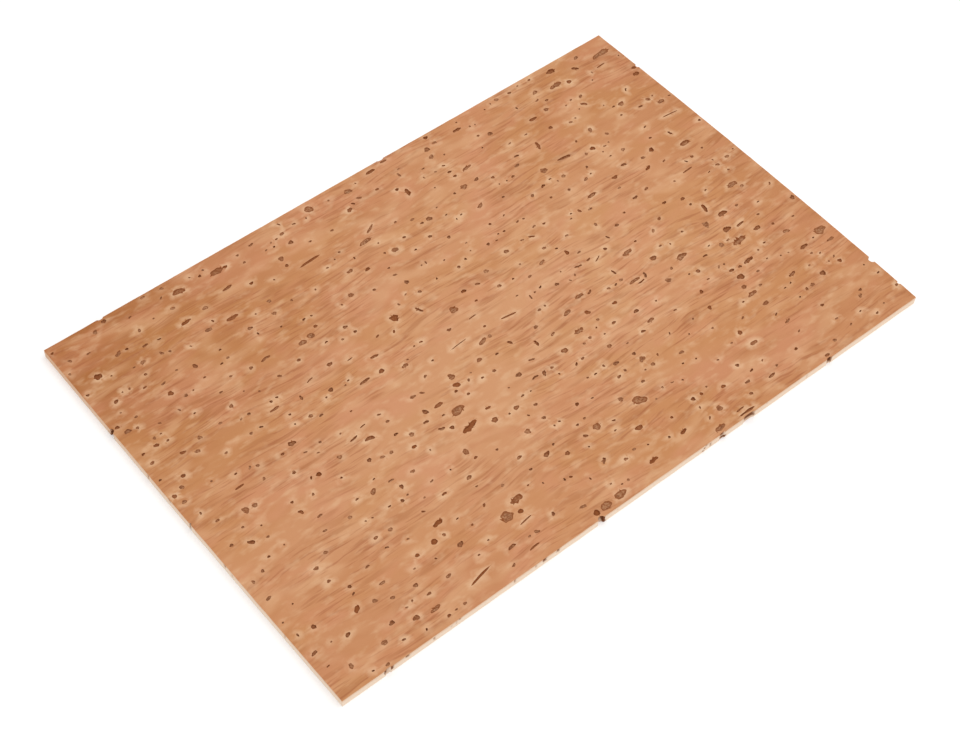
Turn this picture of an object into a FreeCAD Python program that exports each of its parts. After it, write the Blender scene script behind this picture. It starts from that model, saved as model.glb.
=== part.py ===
import FreeCAD, Part
import math
import os

# A small sheet of natural cork: one slice knifed from a block of bark and trimmed to a rectangle.
# It lies flat, bark grain along X, with the origin at the middle of its underside and +Z up.
# All sizes are in millimetres.

# Driving sizes of the sheet
length = 150.0  # along the two long edges
width = 100.0  # between the two long edges
thickness = 2.0
right_end_bow = 0.65  # how far the middle of the +X end stands out past its corners
left_end_bow = 0.25  # the same at the -X end

# The ends stand out by different amounts, so the outline moves by half of the difference. That
# puts the middle of the whole box on the origin.
centre_shift = (left_end_bow - right_end_bow) / 2

# Lenticels are the bark's breathing pores. They run through the bark as thin channels, and the
# knife leaves each one open as a shallow pit with its long side along the grain. These dozen are
# the largest in the upper face: middle X and Y, long size, short size, turn in degrees.
pit_depth = 0.5
largest_pits = [
    (70.9, 45.2, 4.8, 1.9, 0),
    (56.0, 43.5, 3.6, 1.7, 0),
    (-36.0, 45.7, 3.0, 1.6, 0),
    (-45.3, 46.1, 2.9, 1.5, 0),
    (-19.0, 36.0, 5.2, 0.9, 0),
    (-18.9, -13.2, 3.2, 1.8, 12),
    (-19.5, -17.8, 4.0, 1.5, 15),
    (56.5, -15.8, 3.5, 1.6, 0),
    (72.5, -24.3, 3.2, 2.0, 0),
    (11.3, -33.7, 3.2, 2.0, -20),
    (-27.2, -38.6, 3.0, 2.4, 0),
    (-23.2, -36.7, 3.0, 1.7, 0),
]

# Where the trimming cut met a lenticel, a nick is left right through the thickness.
# Each is its middle along the edge, its width along the edge and its depth into the sheet.
front_nicks = [
    (-64.5, 1.2, 0.2),
    (-13.2, 1.4, 0.6),
    (18.9, 1.4, 0.2),
    (26.2, 3.0, 0.25),
    (49.0, 1.2, 0.25),
]
back_nicks = [
    (-61.7, 1.3, 0.3),
    (10.6, 1.6, 0.25),
]
right_nicks = [
    (-45.0, 0.8, 0.3),
    (-37.0, 1.6, 0.7),
    (37.0, 1.0, 0.35),
]
left_nicks = [
    (-2.5, 0.6, 0.25),
    (24.8, 1.1, 0.5),
]


def sheet_outline():
    """The closed outline in the underside's plane: straight long edges and gently bowed ends."""
    half_length = length / 2
    half_width = width / 2
    front_left = FreeCAD.Vector(-half_length, -half_width, 0)
    front_right = FreeCAD.Vector(half_length, -half_width, 0)
    back_right = FreeCAD.Vector(half_length, half_width, 0)
    back_left = FreeCAD.Vector(-half_length, half_width, 0)
    right_middle = FreeCAD.Vector(half_length + right_end_bow, 0, 0)
    left_middle = FreeCAD.Vector(-half_length - left_end_bow, 0, 0)
    front_edge = Part.LineSegment(front_left, front_right).toShape()
    right_end = Part.Arc(front_right, right_middle, back_right).toShape()
    back_edge = Part.LineSegment(back_right, back_left).toShape()
    left_end = Part.Arc(back_left, left_middle, front_left).toShape()
    return Part.Wire([front_edge, right_end, back_edge, left_end])


def oval_cutter(x, y, long_size, short_size, turn, bottom, top):
    """An upright oval prism between two heights, its long side turned from X by the given angle."""
    oval = Part.Ellipse(FreeCAD.Vector(0, 0, 0), long_size / 2, short_size / 2)
    face = Part.Face(Part.Wire([oval.toShape()]))
    cutter = face.extrude(FreeCAD.Vector(0, 0, top - bottom))
    cutter.rotate(FreeCAD.Vector(0, 0, 0), FreeCAD.Vector(0, 0, 1), turn)
    cutter.translate(FreeCAD.Vector(x, y, bottom))
    return cutter


def bow_at(y, bow):
    """How far a bowed end stands out past its corners at this Y."""
    half_width = width / 2
    radius = (half_width**2 + bow**2) / (2 * bow)
    return math.sqrt(radius**2 - y**2) - (radius - bow)


def nick_cutter(x, y, along, depth, turn):
    """A cutter for one nick, whose middle lies on the edge. Part.Ellipse wants its long size first."""
    clearance = 1.0
    across = 2 * depth
    if across > along:
        along, across = across, along
        turn += 90
    return oval_cutter(x, y, along, across, turn, -clearance, thickness + clearance)


def edge_nicks():
    """Every nick cutter, edge by edge."""
    half_length = length / 2
    half_width = width / 2
    cutters = []
    for x, along, depth in front_nicks:
        cutters.append(nick_cutter(x, -half_width, along, depth, 0))
    for x, along, depth in back_nicks:
        cutters.append(nick_cutter(x, half_width, along, depth, 0))
    for y, along, depth in right_nicks:
        cutters.append(nick_cutter(half_length + bow_at(y, right_end_bow), y, along, depth, 90))
    for y, along, depth in left_nicks:
        cutters.append(nick_cutter(-half_length - bow_at(y, left_end_bow), y, along, depth, 90))
    return cutters


def face_pits():
    """A cutter for each of the largest lenticels in the upper face."""
    clearance = 1.0
    cutters = []
    for x, y, long_size, short_size, turn in largest_pits:
        bottom = thickness - pit_depth
        top = thickness + clearance
        cutters.append(oval_cutter(x, y, long_size, short_size, turn, bottom, top))
    return cutters


def cork_sheet():
    """The trimmed slice with its nicks and its largest pits."""
    slab = Part.Face(sheet_outline()).extrude(FreeCAD.Vector(0, 0, thickness))
    sheet = slab.cut(edge_nicks() + face_pits())
    sheet.translate(FreeCAD.Vector(centre_shift, 0, 0))
    return sheet


os.makedirs("parts", exist_ok=True)
sheet = cork_sheet()
print("solids", len(sheet.Solids), "valid", sheet.isValid())
print("volume", round(sheet.Volume, 1), "mm3, box", sheet.BoundBox)
sheet.Solids[0].exportStep("parts/cork_sheet.step")
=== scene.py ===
# %% [markdown]
# # A sheet of natural cork
#
# The object is one thin slice of cork oak bark, 150 by 100 mm and 2 mm thick. A knife takes it from
# a block of bark and trims it to a rectangle, so nothing is joined, coated or printed. Three things
# make it read as cork: the reddish streaks of the bark's yearly growth, the dark breathing pores
# that botanists call lenticels, and the pale freshly cut edge. This lesson builds those three.
#
# The first step loads the measured solid. Its box and its outline are the only sizes that the rest
# relies on, so the looks can't drift away from the construction.

import math
import random

import bmesh
import bpy
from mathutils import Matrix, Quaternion, Vector, noise
from mathutils.geometry import convex_hull_2d, delaunay_2d_cdt


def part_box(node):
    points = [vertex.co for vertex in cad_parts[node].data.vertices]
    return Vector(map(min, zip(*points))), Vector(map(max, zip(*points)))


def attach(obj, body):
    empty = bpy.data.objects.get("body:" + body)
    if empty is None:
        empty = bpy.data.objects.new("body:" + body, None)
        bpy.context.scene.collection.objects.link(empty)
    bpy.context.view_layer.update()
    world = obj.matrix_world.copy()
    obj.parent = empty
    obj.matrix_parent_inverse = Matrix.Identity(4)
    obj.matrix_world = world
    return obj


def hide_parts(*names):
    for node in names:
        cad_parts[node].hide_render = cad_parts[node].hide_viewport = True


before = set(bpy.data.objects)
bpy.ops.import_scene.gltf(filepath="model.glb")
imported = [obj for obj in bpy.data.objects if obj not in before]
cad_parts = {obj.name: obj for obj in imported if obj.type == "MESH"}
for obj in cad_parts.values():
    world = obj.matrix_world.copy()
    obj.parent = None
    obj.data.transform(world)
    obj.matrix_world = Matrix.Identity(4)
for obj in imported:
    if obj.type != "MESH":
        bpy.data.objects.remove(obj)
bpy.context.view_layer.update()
MM = 0.001
sheet_low, sheet_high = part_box("cork_sheet")
thickness = (sheet_high[2] - sheet_low[2]) / MM
random.seed(1507)
print("sheet box in mm", [round(high / MM - low / MM, 2) for low, high in zip(sheet_low, sheet_high)])

# %% [markdown]
# ## The trimmed outline
#
# The real sheet was cut by hand: its short ends bow out a little, and where the blade met a pore it
# left a nick. All of that is already in the solid, so it is read from there. The upper face's
# triangles share their inner edges in pairs, and an edge that only one triangle uses is a border.
# Walking along those border edges gives closed loops, and the longest loop is the outline.

# %% Read the outline from the solid
def border_loops(mesh, level):
    """Closed loops of (x, y) in mm around the flat face of a mesh that lies at this height."""
    places = [(round(v.co.x / MM, 3), round(v.co.y / MM, 3), v.co.z / MM) for v in mesh.vertices]
    uses = {}
    for polygon in mesh.polygons:
        corners = [places[index] for index in polygon.vertices]
        if any(abs(z - level) > 0.001 for x, y, z in corners):
            continue
        flat = [corner[:2] for corner in corners]
        for start, end in zip(flat, flat[1:] + flat[:1]):
            if (end, start) in uses:
                del uses[end, start]
            else:
                uses[start, end] = True
    following = dict(uses.keys())
    loops = []
    while following:
        place, after = following.popitem()
        loop = [place]
        while after in following:
            loop.append(after)
            after = following.pop(after)
        loops.append(loop)
    return loops


def loop_length(loop):
    return sum(math.dist(a, b) for a, b in zip(loop, loop[1:] + loop[:1]))


cad_loops = border_loops(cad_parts["cork_sheet"].data, sheet_high[2] / MM)
cad_outline = max(cad_loops, key=loop_length)
print("loops on the upper face", len(cad_loops), "outline in mm", round(loop_length(cad_outline), 1))

# %% [markdown]
# A knife never leaves a perfectly straight line in cork. The outline gets a point every 0.4 mm, and
# smooth noise moves each one inwards by a few hundredths of a millimetre. The sheet's plain outline
# bulges outwards everywhere, so a point that lies inside the outline's convex hull is in a nick,
# and how far inside says how strongly the nick's dark lining should show there.

# %% Refine the outline
OUTLINE_STEP = 0.4
KNIFE_WAVER = 0.07


def distance_to_segment(point, start, end):
    run = (end[0] - start[0], end[1] - start[1])
    length_squared = run[0] ** 2 + run[1] ** 2
    share = ((point[0] - start[0]) * run[0] + (point[1] - start[1]) * run[1]) / length_squared
    share = min(1.0, max(0.0, share))
    return math.dist(point, (start[0] + share * run[0], start[1] + share * run[1]))


def smooth_step(low, high, value):
    share = min(1.0, max(0.0, (value - low) / (high - low)))
    return share * share * (3 - 2 * share)


outline = []
for start, end in zip(cad_outline, cad_outline[1:] + cad_outline[:1]):
    pieces = max(1, math.ceil(math.dist(start, end) / OUTLINE_STEP))
    for piece in range(pieces):
        share = piece / pieces
        outline.append((start[0] + share * (end[0] - start[0]), start[1] + share * (end[1] - start[1])))
hull = [cad_outline[index] for index in convex_hull_2d([Vector(point) for point in cad_outline])]
hull_sides = list(zip(hull, hull[1:] + hull[:1]))
nick_depths = [min(distance_to_segment(point, *side) for side in hull_sides) for point in outline]

inward = []
for before, after in zip(outline[-1:] + outline[:-1], outline[1:] + outline[:1]):
    run = Vector((after[0] - before[0], after[1] - before[1])).normalized()
    inward.append(Vector((-run.y, run.x)))
knife_line = []
for point, direction in zip(outline, inward):
    waver = noise.noise(Vector((point[0] * 0.35, point[1] * 0.35, 5))) + 1
    moved = Vector(point) + direction * KNIFE_WAVER * waver / 2
    knife_line.append((moved.x, moved.y))
print("outline points", len(knife_line), "in nicks", sum(depth > 0.1 for depth in nick_depths))

# %% [markdown]
# ## The pores
#
# A lenticel is a channel of loose tissue that lets the bark breathe. The knife crosses it and leaves
# an oval pit, drawn out along the grain. The largest ones give each sheet its face, so about a
# hundred and forty are listed one by one, in millimetres from the sheet's middle. Each entry is X,
# Y, length, width and turn in degrees. The many small ones between them follow the bark's statistics
# and are placed by seeded chance.
#
# There are three kinds. An open pore is a dark pit. A crumbly pore is still filled with
# pale brown grains nearly to the surface. A slit is a hair-thin split in the grain.

# %% Listed pores
open_pores = [
    (59.2, 42.7, 1.3, 1.0, 0), (58.0, 47.8, 2.2, 1.3, 0), (-36.0, 45.7, 3.0, 1.6, 5),
    (-33.9, 45.6, 1.0, 0.8, 0), (-45.3, 46.1, 2.9, 1.5, -5), (9.3, 38.7, 2.1, 1.0, 80),
    (29.4, 46.6, 2.2, 0.9, 0), (20.4, 46.0, 1.4, 1.2, 0), (6.5, 48.4, 2.4, 0.9, 0),
    (23.9, 36.4, 2.5, 0.8, 5), (40.6, 31.8, 2.3, 0.9, 75), (45.0, 38.7, 2.1, 0.9, 0),
    (-36.8, 40.6, 2.5, 0.7, 8), (-48.6, 38.4, 2.4, 0.9, 10), (-40.5, 33.5, 2.8, 1.0, 0),
    (-41.3, 20.8, 2.4, 0.7, 5), (73.1, 35.2, 1.8, 1.0, 0), (42.8, 25.5, 3.4, 0.9, -8),
    (66.9, 12.4, 2.6, 1.3, 0), (40.2, 13.4, 2.5, 0.9, 5), (47.7, 14.2, 1.7, 0.8, 0),
    (-47.2, 9.4, 2.4, 0.6, 5), (-49.4, 0.6, 1.7, 1.1, 0), (57.0, -4.5, 2.3, 1.0, 75),
    (59.0, -7.9, 2.4, 1.3, 0), (43.7, -11.4, 2.7, 1.4, 5), (56.6, -11.8, 2.0, 1.3, 0),
    (59.9, -12.5, 2.2, 0.7, 8), (56.5, -15.8, 3.4, 1.6, 5), (62.0, -15.6, 1.8, 1.0, 0),
    (-19.5, -17.8, 4.0, 1.4, 15), (-14.6, -19.6, 1.4, 1.2, 0), (54.1, -20.9, 2.7, 0.9, 5),
    (49.4, -20.8, 1.4, 0.7, 0), (51.5, -21.1, 1.0, 0.6, 0), (66.2, -25.5, 2.2, 0.9, 8),
    (72.2, -27.6, 2.0, 0.8, 0), (58.8, -29.4, 2.0, 0.8, 10), (48.4, -28.0, 2.5, 1.0, 5),
    (-38.5, -31.4, 2.4, 1.1, 12), (48.8, -31.6, 1.5, 1.0, 0), (64.1, -33.2, 1.4, 1.2, 30),
    (-23.2, -36.5, 2.9, 1.5, 10), (-24.4, -39.1, 1.3, 0.9, 0), (39.5, -37.5, 1.9, 1.0, 0),
    (6.6, -38.7, 1.8, 1.1, 0), (12.9, -44.8, 1.8, 0.9, 10), (3.6, -46.2, 2.2, 1.1, 5),
    (-50.4, -45.6, 2.4, 0.9, 8), (-30.8, -44.1, 1.9, 0.8, 5), (36.5, -45.8, 2.0, 0.6, 5),
    (-32.0, 11.6, 1.3, 0.9, 0), (-9.1, 11.5, 1.9, 0.7, -65), (-23.7, 7.6, 2.0, 0.7, -8),
    (-29.0, 3.9, 2.7, 0.7, 5), (-14.7, -6.0, 1.7, 1.2, -75), (-36.7, -7.8, 2.2, 1.0, -12),
    (-21.1, -9.9, 2.2, 0.9, 3), (-24.2, -14.8, 1.6, 0.8, -15), (-22.4, -15.8, 1.0, 0.9, 0),
    (-31.1, -14.8, 1.2, 0.7, 5), (-3.7, -14.0, 1.4, 1.0, 0), (-13.8, -16.5, 1.3, 0.7, -5),
    (-39.2, -6.0, 2.1, 0.5, 12), (-22.9, 15.1, 0.8, 0.7, 0), (-23.8, 17.3, 1.1, 0.8, 0),
    (-6.0, 15.2, 0.9, 0.7, 0), (-7.5, 3.6, 1.1, 0.7, -10), (1.3, 9.7, 1.3, 0.8, -5),
    (4.8, 9.4, 1.2, 0.6, -25), (22.2, 12.4, 1.4, 0.7, -30), (25.2, 4.4, 1.3, 0.9, 90),
    (24.6, 0.0, 1.8, 0.6, -12), (27.5, 0.1, 1.2, 0.5, 15), (29.2, -0.9, 1.9, 0.4, 25),
    (17.8, -0.9, 1.0, 0.8, 0), (4.4, -10.1, 1.6, 0.8, 85), (0.2, -6.6, 1.2, 0.7, -60),
    (0.8, -12.7, 1.4, 0.7, -15), (17.9, -10.5, 1.4, 0.9, -40), (29.4, -5.8, 1.4, 0.6, -80),
    (7.6, -15.1, 1.6, 1.1, -20), (32.3, -11.3, 1.9, 0.5, 5), (34.1, -10.4, 1.5, 0.8, 70),
    (-1.5, -16.5, 1.7, 0.5, 5), (22.2, 8.3, 1.0, 0.7, 0), (-10.6, 47.8, 2.0, 1.7, 0),
    (-58.5, 38.5, 1.4, 0.7, 10), (26.3, -49.1, 4.0, 0.6, 0), (-13.2, -48.4, 1.5, 1.2, 90),
    (-64.3, -49.2, 1.0, 0.6, 0), (49.1, -49.1, 1.2, 0.7, 0), (-61.7, 48.9, 1.2, 0.9, 0),
    (-52.0, 49.3, 1.1, 0.6, 0), (10.6, 49.1, 1.7, 0.6, 0), (22.4, 49.0, 1.2, 0.8, 0),
    (-74.0, 24.8, 1.0, 0.8, 0), (-74.3, 35.0, 0.8, 0.6, 0), (-74.2, 4.5, 1.0, 0.9, 0),
    (-74.3, 9.3, 0.7, 0.5, 0), (74.0, 37.0, 1.1, 0.9, 0), (74.3, -14.0, 1.3, 1.0, 60),
    (74.4, 15.5, 0.8, 0.6, 0), (74.0, -45.1, 0.9, 0.6, 40),
]
crumbly_pores = [
    (70.9, 45.2, 4.6, 1.8, 5), (56.0, 43.7, 3.2, 1.4, 5), (-6.6, 33.1, 3.2, 1.0, 8),
    (-33.0, 19.4, 1.8, 1.2, 0), (35.3, -3.5, 2.7, 1.1, 8), (66.6, -3.1, 2.6, 1.4, 0),
    (72.3, -24.4, 3.0, 1.8, 0), (11.3, -33.7, 3.1, 1.9, -20), (8.4, -31.3, 1.2, 1.0, 0),
    (-27.2, -38.4, 2.7, 2.1, 10), (-18.9, -13.2, 3.2, 1.8, 12), (-29.7, -12.2, 1.2, 1.0, 0),
    (-4.0, -3.0, 2.3, 1.0, 20), (13.3, -13.1, 2.4, 1.1, 3), (14.5, -8.0, 2.2, 0.9, 15),
    (19.4, -6.2, 2.2, 1.0, 0), (31.3, -10.2, 2.9, 0.9, 3), (8.4, 11.0, 1.1, 1.0, 0),
    (-2.0, -2.8, 0.9, 0.9, 0), (-6.8, -48.1, 2.8, 1.6, 5), (-10.7, -48.3, 2.4, 1.8, 0),
    (37.0, -14.5, 1.4, 1.1, 0), (49.0, -37.8, 1.7, 0.6, 15), (-3.6, 35.3, 2.8, 0.6, 30),
    (19.3, -48.7, 2.6, 1.1, 5),
]
slits = [
    (-19.0, 36.0, 5.2, 0.7, 4), (70.5, 21.0, 4.2, 0.4, -6), (68.5, 42.2, 2.6, 0.4, 5),
    (61.8, 6.0, 2.9, 0.5, 4), (-63.2, -1.4, 2.2, 0.5, 4), (-24.9, -41.2, 3.2, 0.35, 8),
    (-39.5, -45.3, 5.4, 0.6, 12), (-27.4, -46.7, 2.6, 0.5, 6), (25.5, -47.9, 2.2, 0.45, 4),
    (-8.3, -0.5, 4.2, 0.25, 5), (4.5, -1.1, 3.7, 0.6, -8), (-1.6, 3.3, 2.1, 0.3, 4),
    (-28.0, 10.1, 1.4, 0.3, 5), (-37.5, 10.9, 1.8, 0.4, 15), (-36.0, -4.6, 1.5, 0.3, 8),
]
print("hand-placed pores", len(open_pores), "open,", len(crumbly_pores), "crumbly,", len(slits), "slits")

# %% [markdown]
# Every pore is an oval with a shape of its own: it may bend, narrow at its waist, and its rim is
# ragged. The rim's raggedness is four waves around the oval with random phases, and the same waves
# shape the pit's foot, so foot and rim never cross. `grow` widens the whole figure, which also gives
# the rings of points for the pale halo around a pore.

# %% One pore's figure
RIM_WAVES = {2: 0.14, 3: 0.18, 5: 0.14, 8: 0.07}  # waves around the rim: most, as shares of its width
HALO_STRETCH = 1.4  # halos reach further along the grain than across it


class Pore:
    """A lenticel's figure in the sheet's plane, in mm and radians."""

    def __init__(self, x, y, length, width, turn, kind):
        self.x, self.y = x, y
        self.half_length, self.half_width = length / 2, width / 2
        self.turn = math.radians(turn)
        self.kind = kind
        slender = min(length / width, 3.0)
        self.bend = random.uniform(-0.14, 0.14) * self.half_width * slender
        self.waist = random.uniform(0.0, 0.35) if slender > 1.8 else 0.0
        ragged = 0.4 if kind == "slit" else 1.0
        self.waves = [(wave, ragged * most * random.uniform(0.2, 1.0), random.uniform(0, math.tau))
                      for wave, most in RIM_WAVES.items()]
        self.halo = random.uniform(0.0, 1.0)
        self.tone = random.uniform(0.0, 0.8) if kind != "crumbly" else random.uniform(0.7, 1.0)
        self.depth = {"open": random.uniform(0.12, 0.3), "crumbly": 0.2, "slit": 0.15}[kind]

    def place(self, along, across):
        """From the pore's own axes to the sheet's."""
        across += self.bend * (along / self.half_length) ** 2
        cos, sin = math.cos(self.turn), math.sin(self.turn)
        return (self.x + along * cos - across * sin, self.y + along * sin + across * cos)

    def ring(self, count, scale=1.0, grow=0.0):
        """Points around the pore, from a share of its size, or past its rim by `grow`."""
        points = []
        for index in range(count):
            angle = math.tau * index / count
            uneven = self.half_width * sum(size * math.cos(wave * angle + phase)
                                           for wave, size, phase in self.waves)
            narrow = 1 - self.waist * (1 - abs(math.cos(angle)))
            along = math.cos(angle) * ((self.half_length + uneven) * scale + grow * HALO_STRETCH)
            across = math.sin(angle) * ((self.half_width * narrow + uneven) * scale + grow)
            points.append(self.place(along, across))
        return points

    def holds(self, point, margin):
        """Whether a point lies in the pore or within a margin of its rim."""
        dx, dy = point[0] - self.x, point[1] - self.y
        cos, sin = math.cos(self.turn), math.sin(self.turn)
        along, across = dx * cos + dy * sin, dy * cos - dx * sin
        across -= self.bend * min(1.0, (along / self.half_length) ** 2)
        reach_along = self.half_length * 1.15 + margin
        reach_across = self.half_width * 1.15 + margin
        return (along / reach_along) ** 2 + (across / reach_across) ** 2 < 1

    def reach(self):
        return self.half_length * 1.2 + abs(self.bend)

# %% [markdown]
# Chance fills the rest. The small pores are mostly 0.6 to 1.4 mm long, often in short rows along the
# grain, about five of them to a square centimetre. A new pore is kept only where it
# clears its neighbours and the outline. A table of 4 mm squares remembers which pores are near, so
# that each test looks at a few pores and not at all of them.

# %% Scatter the small pores
PORES_PER_CM2 = 5.1
SQUARE = 4.0
PORE_GAP = 0.3
half_x = max(x for x, y in knife_line)
half_y = max(y for x, y in knife_line)
nearby = {}


def squares_around(x, y, reach):
    for column in range(math.floor((x - reach) / SQUARE), math.floor((x + reach) / SQUARE) + 1):
        for row in range(math.floor((y - reach) / SQUARE), math.floor((y + reach) / SQUARE) + 1):
            yield column, row


def remember(pore):
    for square in squares_around(pore.x, pore.y, pore.reach() + 1.0):
        nearby.setdefault(square, []).append(pore)


def pores_near(point):
    return nearby.get((math.floor(point[0] / SQUARE), math.floor(point[1] / SQUARE)), [])


def is_free(pore):
    """Clear of other pores, by their rings of points, and clear of the outline."""
    margin = pore.reach() + 0.5
    if abs(pore.x) > half_x - margin or abs(pore.y) > half_y - margin:
        return False
    rim = pore.ring(10, grow=PORE_GAP) + [(pore.x, pore.y)]
    if any(other.holds(point, PORE_GAP) for point in rim for other in pores_near(point)):
        return False
    return not any(pore.holds((other.x, other.y), PORE_GAP) for other in pores_near((pore.x, pore.y)))


def lonely_place(tries=4):
    """The emptiest of a few chance places: real pores keep apart, so pure chance would bunch them."""
    places = [(random.uniform(-half_x, half_x), random.uniform(-half_y, half_y)) for number in range(tries)]

    def room(place):
        return min((math.dist(place, (pore.x, pore.y)) for pore in pores_near(place)), default=SQUARE)

    return max(places, key=room)


pores = [Pore(*entry, "open") for entry in open_pores]
pores += [Pore(*entry, "crumbly") for entry in crumbly_pores]
pores += [Pore(*entry, "slit") for entry in slits]
for pore in pores:
    if abs(pore.y) > half_y - 3 or abs(pore.x) > half_x - 3:
        pore.bend = 0.0
    remember(pore)

wanted = int(PORES_PER_CM2 * (2 * half_x) * (2 * half_y) / 100)
row_x, row_y = 0.0, 0.0
while len(pores) < wanted:
    if random.random() < 0.22:
        row_x += random.choice((-1, 1)) * random.uniform(1.1, 2.2)
        row_y += random.gauss(0, 0.4)
    else:
        row_x, row_y = lonely_place()
    long_size = min(1.8, max(0.45, random.lognormvariate(math.log(0.86), 0.36)))
    short_size = long_size / random.uniform(1.05, 2.1)
    turn = random.gauss(4, 16) if random.random() < 0.8 else random.uniform(40, 140)
    kind = "crumbly" if random.random() < 0.42 else "open"
    pore = Pore(row_x, row_y, long_size, max(0.38, short_size), turn, kind)
    if is_free(pore):
        pores.append(pore)
        remember(pore)
print("pores in all", len(pores))

# %% [markdown]
# ## The pored faces
#
# A flat face with hundreds of ragged holes is what constrained Delaunay triangulation is made for:
# it takes points and the lines that must stay, and fills the plane with well-shaped triangles. Each
# pore gives it a rim and a foot, so the pit has real walls, and two rings outside the rim carry the
# halo. Height and the colour values are kept per point and handed to the mesh afterwards.
#
# A crumbly pore also gets points inside its foot at uneven heights, which are its grains.

# %% Lay out a face's points
class Layout:
    """Points of one face: place, depth under the face, and the values that the materials read."""

    def __init__(self):
        self.points, self.depths, self.halos, self.crumbs = [], [], [], []
        self.inside, self.lines = [], []

    def add(self, point, depth=0.0, halo=0.0, crumb=0.0, inside=False):
        self.points.append(point)
        self.depths.append(depth)
        self.halos.append(halo)
        self.crumbs.append(crumb)
        self.inside.append(inside)
        return len(self.points) - 1

    def add_ring(self, points, **values):
        indices = [self.add(point, **values) for point in points]
        self.lines += list(zip(indices, indices[1:] + indices[:1]))
        return indices


RIM_STEP = 0.2
FOOT_SHARE = 0.78
NEAR_HALO, FAR_HALO = 0.4, 1.2
LARGE_PORE = 1.6  # from this length on, a crumbly pore keeps a clear dark rim
RIM_FILLING, FOOT_FILLING = 0.55, 0.35


def add_pore(layout, pore, finer):
    """The rim, the foot and the floor of one pore."""
    around = math.pi * (pore.half_length + pore.half_width)
    count = min(48, max(9, round(around / RIM_STEP * finer)))
    rim_crumb = RIM_FILLING * pore.tone if 2 * pore.half_length < LARGE_PORE else 0.0
    layout.add_ring(pore.ring(count), depth=0.01, halo=pore.halo, crumb=rim_crumb)
    foot = pore.ring(count, scale=FOOT_SHARE)
    foot_depth = pore.depth if pore.kind != "crumbly" else pore.depth * 0.6
    layout.add_ring(foot, depth=foot_depth, crumb=max(rim_crumb, FOOT_FILLING * pore.tone), inside=True)
    if pore.kind == "slit":
        return
    for share in (0.5, 0.22):
        for point in pore.ring(max(3, round(count * share)), scale=share):
            rough = random.uniform(0.75, 1.1) if pore.kind == "open" else random.uniform(0.25, 1.0)
            crumb = pore.tone * random.uniform(0.6, 1.0)
            layout.add(point, depth=pore.depth * rough, crumb=crumb, inside=True)

# %% [markdown]
# Between the pores the face only needs enough points to bend the light a little: a knife-cut face is
# flat to the eye, but waves by a hundredth of a millimetre. A loose grid of points, 1.5 mm apart and
# shaken so that no rows show, carries that wave.

# %% Triangulate a face
GRID_STEP = 1.5
EDGE_CLEARANCE = 0.3
FACE_WAVE = 0.03


def is_open_ground(point, margin):
    """On the sheet, off its pores and away from its border."""
    if abs(point[0]) > half_x - 1.6 or abs(point[1]) > half_y - 1.6:
        near_border = min(math.dist(point, place) for place in knife_line)
        if near_border < EDGE_CLEARANCE or not is_inside(point, knife_line):
            return False
    return not any(pore.holds(point, margin) for pore in pores_near(point))


def is_inside(point, loop):
    """Whether a line to the right of the point crosses the loop an odd number of times."""
    x, y = point
    odd = False
    for (x1, y1), (x2, y2) in zip(loop, loop[1:] + loop[:1]):
        if (y1 > y) != (y2 > y) and x < x1 + (y - y1) * (x2 - x1) / (y2 - y1):
            odd = not odd
    return odd


def lay_out_face(face_pores, finer):
    """All the points and lines of one face. The border's points come first, in order."""
    layout = Layout()
    layout.add_ring(knife_line)
    for pore in face_pores:
        add_pore(layout, pore, finer)
    for pore in face_pores:
        for grow, strength in ((NEAR_HALO, 0.8), (FAR_HALO, 0.0)):
            for point in pore.ring(max(6, round(10 * finer)), grow=grow):
                if is_open_ground(point, 0.12):
                    layout.add(point, halo=pore.halo * strength)
    columns, rows = int(2 * half_x / GRID_STEP), int(2 * half_y / GRID_STEP)
    for column in range(columns + 1):
        for row in range(rows + 1):
            x = -half_x + (column + random.uniform(0.2, 0.8)) * GRID_STEP
            y = -half_y + (row + random.uniform(0.2, 0.8)) * GRID_STEP
            if is_open_ground((x, y), FAR_HALO):
                wave = noise.noise(Vector((x * 0.08, y * 0.3, 3))) + 1
                layout.add((x, y), depth=FACE_WAVE * wave / 2)
    return layout


def fill_face(layout):
    """Triangles as index triples, each with whether it belongs to a pit."""
    flat = [Vector(point) for point in layout.points]
    result = delaunay_2d_cdt(flat, layout.lines, [], 0, 1e-6)
    places, triangles, sources = result[0], result[2], result[3]
    source = [indices[0] if indices else None for indices in sources]
    filled = []
    for triangle in triangles:
        corners = [source[index] for index in triangle]
        if None in corners:
            continue
        middle = sum((places[index] for index in triangle), Vector((0, 0))) / 3
        on_border = all(corner < len(knife_line) for corner in corners)
        if on_border and not is_inside(middle, knife_line):
            continue
        if any(layout.inside[corner] for corner in corners):
            pit = True
        else:
            pit = any(pore.holds(middle, -0.15 * pore.half_width) for pore in pores_near(middle))
        filled.append((corners, pit))
    return filled


upper = lay_out_face(pores, finer=1.0)
upper_triangles = fill_face(upper)
print("upper face", len(upper.points), "points", len(upper_triangles), "triangles")

# %% [markdown]
# The channels run on through the bark, so the larger pores come out again on the underside, a little
# shifted because a channel is never quite square to the face. The small ones close on the way. The
# underside lies on the floor, so it gets the same pits with fewer points.

# %% Lay out the underside
SMALLEST_THROUGH = 0.85
CHANNEL_DRIFT = 0.35

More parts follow.
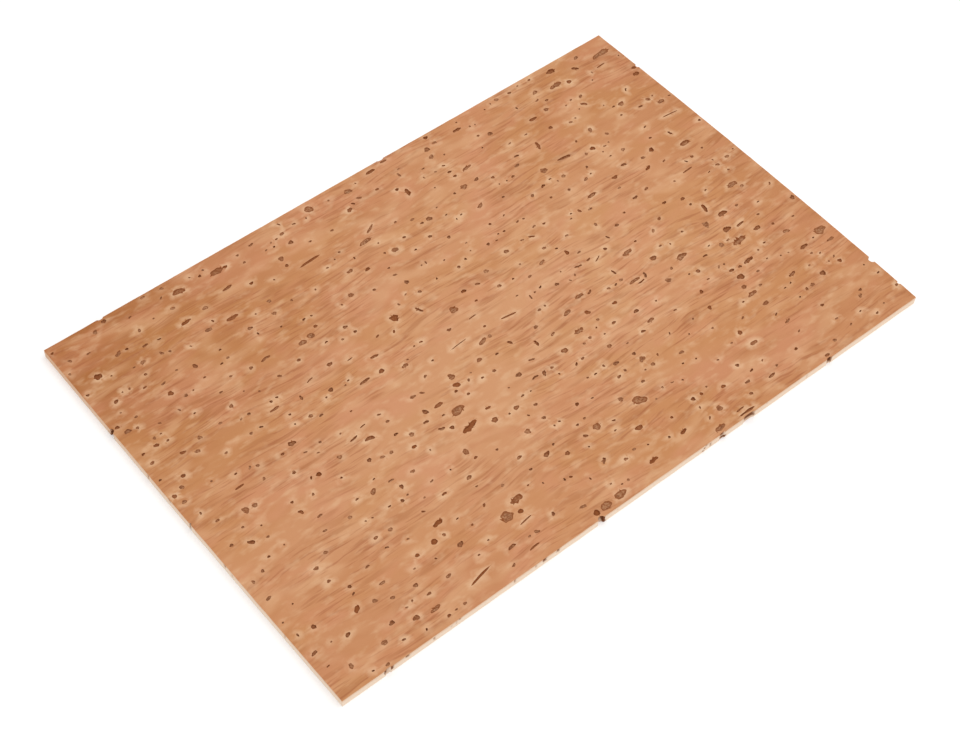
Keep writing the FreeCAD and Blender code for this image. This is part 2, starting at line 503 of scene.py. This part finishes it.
lower_pores = []
nearby.clear()
for pore in list(pores):
    if 2 * pore.half_length < SMALLEST_THROUGH or pore.kind == "slit":
        continue
    x = pore.x + random.uniform(-CHANNEL_DRIFT, CHANNEL_DRIFT)
    y = pore.y + random.uniform(-CHANNEL_DRIFT, CHANNEL_DRIFT)
    shrink = random.uniform(0.6, 0.95)
    length, width = 2 * pore.half_length * shrink, 2 * pore.half_width * shrink
    twin = Pore(x, y, length, width, math.degrees(pore.turn), pore.kind)
    if is_free(twin):
        lower_pores.append(twin)
        remember(twin)
lower = lay_out_face(lower_pores, finer=0.6)
lower_triangles = fill_face(lower)
print("underside", len(lower_pores), "pores", len(lower_triangles), "triangles")

# %% [markdown]
# ## The cut edges
#
# The trimming cut shows the bark from the side: pale, fine-grained and slightly rough, with a dark
# line wherever it opened a channel. The wall is a grid that joins the two borders, one column for
# each border point. Where a channel shows, the wall's points sink in and carry the dark lining's
# value. The clear channels are listed as side, place along it, width, where they start and end as
# shares of the height from the top, and lean. Fainter ones between them are left to chance.

# %% Place the channels in the edges
edge_channels = [
    ("front", -65.2, 0.5, 0.0, 0.7, 0.0), ("front", -63.9, 0.5, 0.0, 0.6, 0.0),
    ("front", -60.3, 0.9, 0.0, 0.4, 0.0), ("front", -48.0, 0.5, 0.0, 0.3, 0.0),
    ("front", -27.6, 1.0, 0.0, 0.6, 0.2), ("front", -24.2, 0.6, 0.0, 0.5, 0.0),
    ("front", -13.0, 0.7, 0.0, 1.0, 0.5), ("front", 14.5, 0.3, 0.1, 1.0, -1.2),
    ("front", 18.7, 1.0, 0.0, 0.5, 0.0), ("front", 19.0, 1.6, 0.7, 0.95, 0.0),
    ("front", 26.0, 2.6, 0.0, 0.75, 0.6), ("front", 49.0, 1.0, 0.0, 0.8, 0.0),
    ("left", 24.8, 0.8, 0.0, 1.0, 0.3), ("left", 12.0, 0.3, 0.2, 1.0, 0.2),
    ("left", -2.5, 0.4, 0.0, 0.9, 0.0), ("left", -13.9, 0.4, 0.0, 0.5, 0.0),
    ("left", 4.5, 0.8, 0.0, 0.3, 0.0), ("right", -37.0, 1.0, 0.0, 0.9, 0.0),
    ("right", -45.0, 0.7, 0.0, 0.8, 0.0), ("right", 37.0, 0.8, 0.0, 0.7, 0.0),
    ("right", 15.5, 0.4, 0.0, 0.8, 0.2), ("back", -61.7, 0.8, 0.0, 0.8, 0.0),
    ("back", 10.6, 1.0, 0.0, 0.6, 0.0), ("back", 62.5, 0.6, 0.0, 0.7, 0.0),
]
channels = [(*entry, 1.0) for entry in edge_channels]
for side, reach in (("front", half_x), ("back", half_x), ("left", half_y), ("right", half_y)):
    for number in range(round(reach / 7)):
        place = random.uniform(-reach + 2, reach - 2)
        start = random.uniform(0.0, 0.5)
        end = start + random.uniform(0.3, 0.6)
        lean = random.uniform(-0.6, 0.6)
        channel_width = random.uniform(0.15, 0.45)
        darkness = random.uniform(0.25, 0.7)
        channels.append((side, place, channel_width, start, end, lean, darkness))
print("channels in the edges", len(channels))


def side_of(point):
    """Which side of the sheet a border point is on, and how far along it."""
    if half_y - abs(point[1]) < half_x - abs(point[0]):
        return ("front" if point[1] < 0 else "back"), point[0]
    return ("left" if point[0] < 0 else "right"), point[1]


def channel_strength(point, share):
    """How strongly a channel shows at a border point, at this share of the height from the top."""
    side, along = side_of(point)
    strongest = 0.0
    for name, place, width, start, end, lean, strength in channels:
        if name != side or abs(along - place) > width + abs(lean) + 1:
            continue
        across = abs(along - place - lean * (share - start))
        inside = 1 - smooth_step(0.3 * width, 0.65 * width, across)
        inside *= smooth_step(start - 0.12, start, share) * (1 - smooth_step(end - 0.05, end + 0.12, share))
        strongest = max(strongest, inside * strength)
    return strongest


# %% [markdown]
# The wall's points come row by row, from the upper border down to the lower one. Channels sink the
# wall by a quarter of a millimetre, and noise roughens it by a few hundredths. The nicks got their
# shape with the outline, so here they only get their dark lining, which fades towards the underside.

# %% Build the wall's points
WALL_ROWS = 10
CHANNEL_DEPTH = 0.28
WALL_ROUGHNESS = 0.035
NICK_LINING = 0.75  # how dark a nick's wall is at the upper border
LINED_NICK = (0.08, 0.3)  # depths between which a nick's wall turns from clean to lined
LINING_FADE = 0.5  # the share of that lining which is lost by the lower border


def lining_at(point, share, nick):
    """How dark the wall is here: the stronger of a channel's lining and a nick's."""
    nick_lining = NICK_LINING * smooth_step(*LINED_NICK, nick) * (1 - LINING_FADE * share)
    return max(channel_strength(point, share), nick_lining)


wall_places, wall_linings = [], []
for row in range(1, WALL_ROWS):
    share = row / WALL_ROWS
    for point, direction, nick in zip(knife_line, inward, nick_depths):
        rough = noise.noise(Vector((point[0] * 1.1, point[1] * 1.1, share * 2.2))) * WALL_ROUGHNESS
        sink = CHANNEL_DEPTH * channel_strength(point, share) + abs(rough)
        moved = Vector(point) + direction * sink
        wall_places.append((moved.x, moved.y, thickness * (1 - share)))
        wall_linings.append(lining_at(point, share, nick))
top_linings = [lining_at(point, 0.02, nick) for point, nick in zip(knife_line, nick_depths)]
bottom_linings = [lining_at(point, 1.0, nick) for point, nick in zip(knife_line, nick_depths)]
print("wall points", len(wall_places))

# %% [markdown]
# ## One mesh
#
# Both faces and the wall share their border points, so the sheet is one skin, as the slice is one
# piece. It isn't quite closed: filling a face leaves out some slivers along the border, and the last
# line that this step prints counts the edges that stay open there.
#
# Four values ride on its points for the materials: `halo`, how near a pore's pale
# ring is, `crumb`, how much pale brown filling a pit holds, `lining`, how dark a channel is, and
# `shade`, how dark or pale this part of the sheet is painted: partly the bark's tone, partly
# painted shade and light.
#
# This sheet is darkest at its back left corner and palest across its middle. That is partly the
# bark's colour drifting across the sheet, and partly painted shade and light for the light that
# falls unevenly on it. Each patch is a soft oval, given as X, Y, its two reaches and its strength,
# which is negative where it is pale.

# %% Assemble the sheet
FACE, PIT, EDGE = 0, 1, 2
border = len(knife_line)
vertices = [(x, y, thickness - depth) for (x, y), depth in zip(upper.points, upper.depths)]
lower_start = len(vertices)
vertices += [(x, y, depth) for (x, y), depth in zip(lower.points, lower.depths)]
wall_start = len(vertices)
vertices += wall_places

faces, face_slots = [], []
for corners, pit in upper_triangles:
    faces.append(tuple(corners))
    face_slots.append(PIT if pit else FACE)
for corners, pit in lower_triangles:
    faces.append(tuple(lower_start + corner for corner in reversed(corners)))
    face_slots.append(PIT if pit else FACE)


def wall_index(row, column):
    """The vertex of the wall at this row, where the first and last rows are the two borders."""
    column %= border
    if row == 0:
        return column
    if row == WALL_ROWS:
        return lower_start + column
    return wall_start + (row - 1) * border + column


for row in range(WALL_ROWS):
    for column in range(border):
        faces.append((wall_index(row, column), wall_index(row, column + 1),
                      wall_index(row + 1, column + 1), wall_index(row + 1, column)))
        face_slots.append(EDGE)

shade_patches = [
    (-80, 52, 44, 30, 1.6), (-34, 28, 12, 9, 0.35), (80, 46, 30, 20, 0.6), (-62, 12, 26, 18, 0.25),
    (18, -2, 46, 24, -0.45), (-38, -18, 36, 16, -0.25), (14, 36, 30, 9, -0.15), (78, -28, 26, 26, 0.5),
    (26, -44, 24, 9, 0.35), (45, 36, 16, 8, 0.3), (-6, 42, 14, 6, 0.2), (-60, -42, 22, 12, 0.15),
    (76, 8, 20, 20, 0.35), (38, -12, 20, 12, -0.25),
]


def shade_at(x, y):
    total = 0.0
    for patch_x, patch_y, reach_x, reach_y, strength in shade_patches:
        total += strength * math.exp(-(((x - patch_x) / reach_x) ** 2 + ((y - patch_y) / reach_y) ** 2))
    return total


mesh = bpy.data.meshes.new("cork_slice")
mesh.from_pydata([Vector(place) * MM for place in vertices], [], faces)
values = {
    "shade": [shade_at(x, y) for x, y, z in vertices],
    "halo": upper.halos + lower.halos + [0.0] * len(wall_places),
    "crumb": upper.crumbs + lower.crumbs + [0.0] * len(wall_places),
    "lining": top_linings + [0.0] * (lower_start - border) + bottom_linings
    + [0.0] * (wall_start - lower_start - border) + wall_linings,
}
for name, numbers in values.items():
    mesh.attributes.new(name, "FLOAT", "POINT").data.foreach_set("value", numbers)
mesh.polygons.foreach_set("material_index", face_slots)
mesh.polygons.foreach_set("use_smooth", [True] * len(faces))
mesh.update()

cork_slice = bpy.data.objects.new("cork_slice", mesh)
bpy.context.scene.collection.objects.link(cork_slice)
check = bmesh.new()
check.from_mesh(mesh)
bmesh.ops.recalc_face_normals(check, faces=check.faces)
open_edges = sum(not edge.is_manifold for edge in check.edges)
volume = check.calc_volume() / MM**3
check.to_mesh(mesh)
check.free()
mesh.set_sharp_from_angle(angle=math.radians(40))
triangle_count = sum(len(polygon.vertices) - 2 for polygon in mesh.polygons)
print("triangles", triangle_count, "open edges", open_edges, "volume in mm3", round(volume))

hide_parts("cork_sheet")
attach(cork_slice, "root")

# %% [markdown]
# ## Materials
#
# Colours are written as the sRGB hex values that an eye would pick, and one function turns them
# into the linear numbers that the shader needs. One more function adds a node, sets its fields and
# wires its inputs, so that each material below reads as a list of what it is made of.

# %% Colour and node helpers
def linear(hex_colour):
    """An sRGB hex colour as linear red, green, blue and alpha."""
    parts = [int(hex_colour[start:start + 2], 16) / 255 for start in (1, 3, 5)]
    return [part / 12.92 if part <= 0.04045 else ((part + 0.055) / 1.055) ** 2.4 for part in parts] + [1.0]


def add(tree, kind, inputs=None, **fields):
    """Adds a node, sets its fields, and fills its inputs with plain values or other sockets."""
    node = tree.nodes.new(kind)
    for name, value in fields.items():
        setattr(node, name, value)
    for name, value in (inputs or {}).items():
        if isinstance(value, bpy.types.NodeSocket):
            tree.links.new(value, node.inputs[name])
        else:
            node.inputs[name].default_value = value
    return node


def new_material(name):
    """A material with all of its nodes cleared, ready for new ones."""
    material = bpy.data.materials.new(name)
    material.use_nodes = True
    material.node_tree.nodes.clear()
    return material, material.node_tree

# %% [markdown]
# The growth streaks all come from one idea. Cork grows in yearly layers, and a slice that runs
# almost along the layers meets them as long, wandering, broken streaks. So every pattern here is
# noise that is stretched along X: the stretch is the streak's usual length and width in mm. A slow
# noise first pushes the pattern sideways, which makes the streaks wander instead of running ruled.

# %% Grain coordinates and streaks
def grain_coordinates(tree):
    """The object's coordinates in mm, pushed sideways so that the grain wanders."""
    place = add(tree, "ShaderNodeTexCoord").outputs["Object"]
    in_mm = add(tree, "ShaderNodeVectorMath", {0: place, "Scale": 1 / MM}, operation="SCALE").outputs[0]
    slow = add(tree, "ShaderNodeMapping", {"Vector": in_mm, "Scale": (1 / 42, 1 / 24, 1 / 24)}).outputs[0]
    drift = add(tree, "ShaderNodeTexNoise", {"Vector": slow, "Scale": 1.0, "Detail": 2.0}).outputs["Fac"]
    quick = add(tree, "ShaderNodeMapping", {"Vector": in_mm, "Scale": (1 / 9, 1 / 3, 1 / 3)}).outputs[0]
    ripple = add(tree, "ShaderNodeTexNoise", {"Vector": quick, "Scale": 1.0, "Detail": 1.0}).outputs["Fac"]
    wide = add(tree, "ShaderNodeMath", {0: drift, 1: 7.0, 2: -3.5}, operation="MULTIPLY_ADD").outputs[0]
    push = add(tree, "ShaderNodeMath", {0: ripple, 1: 1.1, 2: wide}, operation="MULTIPLY_ADD").outputs[0]
    sideways = add(tree, "ShaderNodeCombineXYZ", {"Y": push}).outputs[0]
    return in_mm, add(tree, "ShaderNodeVectorMath", {0: in_mm, 1: sideways}, operation="ADD").outputs[0]


def streaks(tree, grain, length, width, low, high, detail=2.0):
    """Noise drawn out along the grain, 0 below `low` and 1 above `high`."""
    stretch = (1 / length, 1 / width, 1 / width)
    place = add(tree, "ShaderNodeMapping", {"Vector": grain, "Scale": stretch}).outputs[0]
    noise_inputs = {"Vector": place, "Scale": 1.0, "Detail": detail}
    noise_value = add(tree, "ShaderNodeTexNoise", noise_inputs).outputs["Fac"]
    wanted_range = {"Value": noise_value, "From Min": low, "From Max": high}
    return add(tree, "ShaderNodeMapRange", wanted_range, interpolation_type="SMOOTHSTEP").outputs[0]


def tint(tree, colour, share, hex_colour, strength):
    """The colour, moved towards another one where the share is high."""
    amount = add(tree, "ShaderNodeMath", {0: share, 1: strength}, operation="MULTIPLY").outputs[0]
    mix = {0: amount, 6: colour, 7: linear(hex_colour)}
    return add(tree, "ShaderNodeMix", mix, data_type="RGBA").outputs[2]

# %% [markdown]
# **Sliced cork face.** Cork is a foam of dead cells a fortieth of a millimetre across, so a knife
# cut is matte with no gloss. The eye sees tan with a pink cast, pale flecks, broad warm bands, fine
# reddish streaks, and a cream ring around many pores. Cork has no clear coat, so the roughness is
# high and the specular level low.

# %% Sliced cork face
cork_face, tree = new_material("sliced_cork_face")
in_mm, grain = grain_coordinates(tree)
shade = add(tree, "ShaderNodeAttribute", attribute_name="shade").outputs["Fac"]
# Painted shade and light, in part: `shade` darkens the back left corner and the right end and pales the
# middle. This stands partly for the uneven light across the sheet and partly for the bark's tone.
colour = tint(tree, linear("#CE9064"), shade, "#AC6A36", 0.7)
colour = tint(tree, colour, shade, "#E6B488", -0.65)
colour = tint(tree, colour, streaks(tree, grain, 34, 11, 0.42, 0.62), "#C48648", 0.3)
colour = tint(tree, colour, streaks(tree, in_mm, 13, 7, 0.45, 0.65), "#D89270", 0.35)
colour = tint(tree, colour, streaks(tree, grain, 8, 3.5, 0.48, 0.66), "#BA7848", 0.25)
colour = tint(tree, colour, streaks(tree, grain, 9, 3.2, 0.48, 0.74, 1.0), "#E4B286", 0.42)
lively = streaks(tree, in_mm, 22, 9, 0.36, 0.58)
ripples = streaks(tree, grain, 10, 1.1, 0.5, 0.68, 1.0)
ripples = add(tree, "ShaderNodeMath", {0: ripples, 1: lively}, operation="MULTIPLY").outputs[0]
colour = tint(tree, colour, ripples, "#A8663A", 0.42)
fine = streaks(tree, grain, 7, 0.5, 0.53, 0.66)
fine = add(tree, "ShaderNodeMath", {0: fine, 1: lively}, operation="MULTIPLY").outputs[0]
colour = tint(tree, colour, fine, "#A45C38", 0.46)
colour = tint(tree, colour, streaks(tree, in_mm, 3.4, 1.5, 0.5, 0.8), "#E8BC92", 0.45)
halo = add(tree, "ShaderNodeAttribute", attribute_name="halo").outputs["Fac"]
pale_patches = streaks(tree, in_mm, 1.8, 1.2, 0.3, 0.6)
patchy = add(tree, "ShaderNodeMath", {0: halo, 1: pale_patches}, operation="MULTIPLY")
colour = tint(tree, colour, patchy.outputs[0], "#F0C8A0", 0.66)
cells = add(tree, "ShaderNodeTexNoise", {"Vector": in_mm, "Scale": 3.5, "Detail": 3.0}).outputs["Fac"]
colour = tint(tree, colour, cells, "#B27750", 0.12)
bump = add(tree, "ShaderNodeBump", {"Height": cells, "Strength": 0.25, "Distance": 0.03 * MM}).outputs[0]
shader = add(tree, "ShaderNodeBsdfPrincipled", {"Base Color": colour, "Roughness": 0.8, "Normal": bump})
shader.inputs["Specular IOR Level"].default_value = 0.25
add(tree, "ShaderNodeOutputMaterial", {"Surface": shader.outputs[0]})
print(cork_face.name, len(tree.nodes), "nodes")

# %% [markdown]
# **Lenticel tissue.** The lining of a pore is woody, dark reddish brown and grainy. The filling of
# the crumbly ones is a paler brown powder with grains of about a fifth of a millimetre.

# %% Lenticel tissue
pore_tissue, tree = new_material("lenticel_tissue")
in_mm, grain = grain_coordinates(tree)
grains = add(tree, "ShaderNodeTexNoise", {"Vector": in_mm, "Scale": 2.6, "Detail": 3.0}).outputs["Fac"]
grain_range = {"Value": grains, "From Min": 0.35, "From Max": 0.65}
grain_share = add(tree, "ShaderNodeMapRange", grain_range).outputs[0]
crumb = add(tree, "ShaderNodeAttribute", attribute_name="crumb").outputs["Fac"]
colour = tint(tree, linear("#884A24"), grain_share, "#A06034", 0.5)
filled = add(tree, "ShaderNodeMath", {0: crumb, 1: grain_share}, operation="MULTIPLY").outputs[0]
colour = tint(tree, colour, crumb, "#A46C46", 0.75)
colour = tint(tree, colour, filled, "#D0A07A", 0.85)
hatched = streaks(tree, in_mm, 1.0, 0.4, 0.45, 0.6, 1.0)
hatched = add(tree, "ShaderNodeMath", {0: hatched, 1: crumb}, operation="MULTIPLY").outputs[0]
colour = tint(tree, colour, hatched, "#75401F", 0.8)
bump = add(tree, "ShaderNodeBump", {"Height": grains, "Strength": 0.5, "Distance": 0.1 * MM}).outputs[0]
shader = add(tree, "ShaderNodeBsdfPrincipled", {"Base Color": colour, "Roughness": 0.9, "Normal": bump})
shader.inputs["Specular IOR Level"].default_value = 0.2
add(tree, "ShaderNodeOutputMaterial", {"Surface": shader.outputs[0]})
print(pore_tissue.name, len(tree.nodes), "nodes")

# %% [markdown]
# ** Cut cork edge.** The trimming cut crosses the cells end on. It is much paler than the face, a
# cream with a touch of peach, in faint layers a quarter of a millimetre thick that run along the
# sheet. Part of that paleness is painted light, for walls that face the lamp and the white table.
# The blade enters at the top and crushes the cells there, so the uppermost half millimetre takes on
# the face's tan. The `lining` value darkens it where a channel or a nick shows.

# %% Cut cork edge
cut_edge, tree = new_material("cut_cork_edge")
in_mm, grain = grain_coordinates(tree)
layers = add(tree, "ShaderNodeMapping", {"Vector": in_mm, "Scale": (1 / 5, 1 / 5, 1 / 0.3)}).outputs[0]
layer_value = add(tree, "ShaderNodeTexNoise", {"Vector": layers, "Scale": 1.0, "Detail": 2.0}).outputs["Fac"]
lining = add(tree, "ShaderNodeAttribute", attribute_name="lining").outputs["Fac"]
height = add(tree, "ShaderNodeSeparateXYZ", {0: in_mm}).outputs["Z"]
crushed_range = {"Value": height, "From Min": thickness - 0.8, "From Max": thickness + 0.1}
crushed = add(tree, "ShaderNodeMapRange", crushed_range).outputs[0]
# Painted light, in part: the wall's pale cream stands partly for the lamp and the white table that light it.
colour = tint(tree, linear("#FFEBD6"), layer_value, "#EBC6A2", 0.4)
shade = add(tree, "ShaderNodeAttribute", attribute_name="shade").outputs["Fac"]
# Painted shade: the face's `shade` value darkens the wall too, most near the back left corner, for the dimmer
# light on the sheet's left end. In part it is also the bark's tone drift.
colour = tint(tree, colour, shade, "#DCAA80", 0.45)
colour = tint(tree, colour, crushed, "#D39A6C", 0.6)
colour = tint(tree, colour, lining, "#B5743F", 0.9)
darkest = add(tree, "ShaderNodeMath", {0: lining, 1: 2.0}, operation="POWER").outputs[0]
colour = tint(tree, colour, darkest, "#6A3414", 0.85)
bump = add(tree, "ShaderNodeBump", {"Height": layer_value, "Strength": 0.3, "Distance": 0.05 * MM}).outputs[0]
shader = add(tree, "ShaderNodeBsdfPrincipled", {"Base Color": colour, "Roughness": 0.85, "Normal": bump})
shader.inputs["Specular IOR Level"].default_value = 0.2
add(tree, "ShaderNodeOutputMaterial", {"Surface": shader.outputs[0]})
print(cut_edge.name, len(tree.nodes), "nodes")
for material in (cork_face, pore_tissue, cut_edge):
    mesh.materials.append(material)

# %% [markdown]
# ## Camera
#
# The camera looks down on the sheet at 53 degrees from in front and to the left, with a lens near
# 71 mm, a little rolled. Its frame is moved sideways by under 2% of its width. Its aim is a point on
# the upper face. Because the view is a direction, a distance, a roll and a shift, each can be
# changed apart.

# %% Place the camera
ROLL = math.radians(2.25)
camera_data = bpy.data.cameras.new("camera")
camera_data.sensor_width = 36.0
camera_data.lens = 70.6
camera_data.shift_x = 0.0163
camera = bpy.data.objects.new("camera", camera_data)
bpy.context.scene.collection.objects.link(camera)
camera.location = Vector((-161.06, -178.39, 305.39)) * MM
aim = Vector((-11.4, -6.13, thickness)) * MM
facing = (aim - camera.location).to_track_quat("-Z", "Y")
camera.rotation_mode = "QUATERNION"
camera.rotation_quaternion = facing @ Quaternion((0, 0, 1), ROLL)
bpy.context.scene.camera = camera
print("camera right", [round(part, 4) for part in camera.rotation_quaternion @ Vector((1, 0, 0))])

# %% [markdown]
# ## Floor and light
#
# The sheet lies on a white table under a soft light. The world gives most of the light, evenly, and
# one large lamp gives the rest, so that pits have a shaded side. Together they bring a level face
# to a level of one, where a colour renders about as it is written. The floor and the world look
# white to the camera, and the floor still takes the sheet's soft shadow.

# %% Floor
FLOOR_SIZE = 6.0
bpy.ops.mesh.primitive_plane_add(size=FLOOR_SIZE, location=(0, 0, sheet_low[2] - 0.01 * MM))
floor = bpy.context.object
floor.name = "floor"


def seen_directly(tree):
    """1 for rays that show the background: from the camera, a gloss or through glass."""
    path = add(tree, "ShaderNodeLightPath")
    shiny = {0: path.outputs["Is Glossy Ray"], 1: path.outputs["Is Transmission Ray"]}
    either = add(tree, "ShaderNodeMath", shiny, operation="MAXIMUM").outputs[0]
    sight = {0: path.outputs["Is Camera Ray"], 1: either}
    return add(tree, "ShaderNodeMath", sight, operation="MAXIMUM").outputs[0]


FLOOR_LIFT = 0.19  # the glow that brings the table up to the white around the sheet
paper, tree = new_material("white_table")
matte = add(tree, "ShaderNodeBsdfDiffuse", {"Color": linear("#F6F6F6")}).outputs[0]
lift = add(tree, "ShaderNodeMath", {0: seen_directly(tree), 1: FLOOR_LIFT}, operation="MULTIPLY").outputs[0]
glow = add(tree, "ShaderNodeEmission", {"Strength": lift}).outputs[0]
both = add(tree, "ShaderNodeAddShader", {0: matte, 1: glow}).outputs[0]
add(tree, "ShaderNodeOutputMaterial", {"Surface": both})
floor.data.materials.append(paper)

# %% [markdown]
# The sky is even and white. The one lamp is a soft square in front of the sheet and to its right.

# %% World and lamp
WORLD_LEVEL = 0.78
LAMP_SIZE = 0.9
LAMP_WATTS = 3.0
LAMP_PLACE = (0.35, -0.25, 0.9)
world = bpy.data.worlds.new("soft_studio")
bpy.context.scene.world = world
world.use_nodes = True
tree = world.node_tree
tree.nodes.clear()
span = {"Value": seen_directly(tree), "To Min": WORLD_LEVEL, "To Max": 1.0}
level = add(tree, "ShaderNodeMapRange", span).outputs[0]
sky = add(tree, "ShaderNodeBackground", {"Color": (1, 1, 1, 1), "Strength": level}).outputs[0]
add(tree, "ShaderNodeOutputWorld", {"Surface": sky})

lamp_data = bpy.data.lights.new("softbox", "AREA")
lamp_data.size = LAMP_SIZE
lamp_data.energy = LAMP_WATTS
lamp = bpy.data.objects.new("softbox", lamp_data)
bpy.context.scene.collection.objects.link(lamp)
lamp.location = LAMP_PLACE
lamp.rotation_mode = "QUATERNION"
lamp.rotation_quaternion = (-lamp.location).to_track_quat("-Z", "Y")
bpy.context.scene.view_settings.view_transform = "Standard"
print("lamp", LAMP_WATTS, "W, world level", WORLD_LEVEL)
